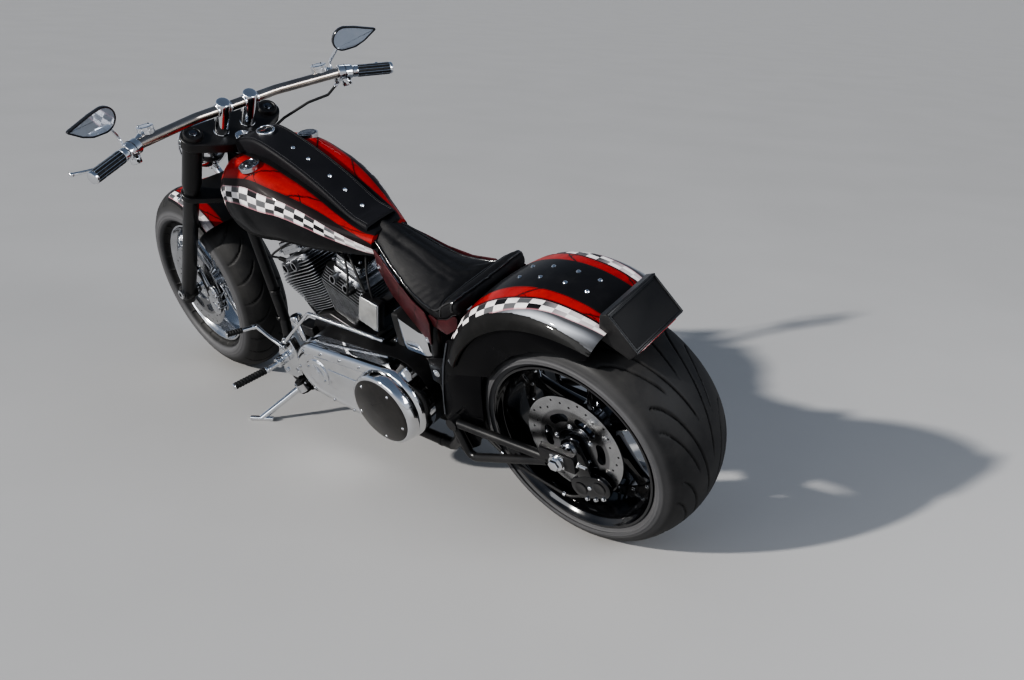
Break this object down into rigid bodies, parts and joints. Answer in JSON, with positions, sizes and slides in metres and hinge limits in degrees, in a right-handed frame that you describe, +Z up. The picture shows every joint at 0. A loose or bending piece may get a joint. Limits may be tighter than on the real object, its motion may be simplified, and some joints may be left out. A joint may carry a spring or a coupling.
{
  "type": "chopper motorcycle",
  "caption": "Low custom chopper with a wide rear tyre, stretched tank, flat bars and a V-twin, parked leaning on its side stand.",
  "frame": {"origin": "centre of the bounding box, on the ground under the motorcycle", "axes": "+X towards the front wheel, +Y to the rider's left, +Z up; the machine leans to +Y on its side stand"},
  "size_m": [2.3111, 1.0918, 1.2145],
  "materials": {
    "tyre_rubber": "matt black rubber",
    "satin_black": "satin black paint",
    "gloss_black": "gloss black paint",
    "paint_red_black": "gloss and satin black with red panels and a chequered stripe",
    "chrome": "polished chrome",
    "nickel": "polished nickel tube",
    "cover_black": "satin black cover",
    "black_leather": "black leather",
    "engine_metal": "black and polished fins",
    "disc_steel": "ground steel",
    "grip_rubber": "ribbed black rubber",
    "hose_rubber": "black hose",
    "mirror_shell": "black shell with a silvered face",
    "dial": "black dial in a chrome ring",
    "lens_glass": "clear lens"
  },
  "bodies": {
    "chassis": {"main_frame": "satin_black", "swingarm": "satin_black", "rear_axle": "chrome", "rear_caliper": "satin_black", "drive_belt": "satin_black", "fuel_tank": "paint_red_black", "tank_console": "black_leather", "speedometer": "dial", "fuel_caps": "disc_steel", "seat": "black_leather", "seat_skirt": "paint_red_black", "rear_fender": "paint_red_black", "fender_struts": "satin_black", "tail_box": "satin_black", "crankcase": "engine_metal", "front_cylinder": "engine_metal", "rear_cylinder": "engine_metal", "rocker_covers": "chrome", "gearbox": "satin_black", "primary_cover": "chrome", "clutch_cover": "cover_black", "air_cleaner": "chrome", "oil_tank": "chrome", "coil_box": "chrome", "exhaust_pipes": "chrome", "left_foot_control": "chrome", "right_foot_control": "chrome"},
    "fork": {"fork_legs": "satin_black", "upper_triple_tree": "satin_black", "lower_triple_tree": "satin_black", "handlebar": "nickel", "handlebar_risers": "chrome", "grips": "grip_rubber", "left_hand_control": "chrome", "right_hand_control": "chrome", "mirrors": "mirror_shell", "headlight_bowl": "chrome", "headlight_lens": "lens_glass", "front_fender": "paint_red_black", "front_axle": "chrome", "front_caliper": "chrome", "brake_hose": "hose_rubber"},
    "front_wheel": {"front_tyre": "tyre_rubber", "front_wheel_rim": "chrome", "front_brake_disc": "disc_steel"},
    "rear_wheel": {"rear_tyre": "tyre_rubber", "rear_wheel_rim": "gloss_black", "rear_brake_disc": "disc_steel", "rear_pulley": "disc_steel"},
    "side_stand": {"side_stand_leg": "chrome"}
  },
  "joints": [
    {"name": "steering", "type": "hinge", "parent": "chassis", "child": "fork", "pos_m": [0.45273, -0.0307, 0.77896], "axis": [-0.5245, 0.2657, 0.8089], "range_deg": [-21, 35]},
    {"name": "front_wheel_spin", "type": "hinge", "parent": "fork", "child": "front_wheel", "pos_m": [0.81897, -0.18623, 0.33013], "axis": [0.1034, 0.9629, -0.2493], "continuous": true},
    {"name": "rear_wheel_spin", "type": "hinge", "parent": "chassis", "child": "rear_wheel", "pos_m": [-0.82864, -0.18102, 0.32336], "axis": [-0.0004, 0.95, -0.3123], "continuous": true},
    {"name": "side_stand_fold", "type": "hinge", "parent": "chassis", "child": "side_stand", "pos_m": [0.2661, -0.09381, 0.107], "axis": [0.1512, 0.4505, 0.8799], "range_deg": [0, 104]}
  ]
}
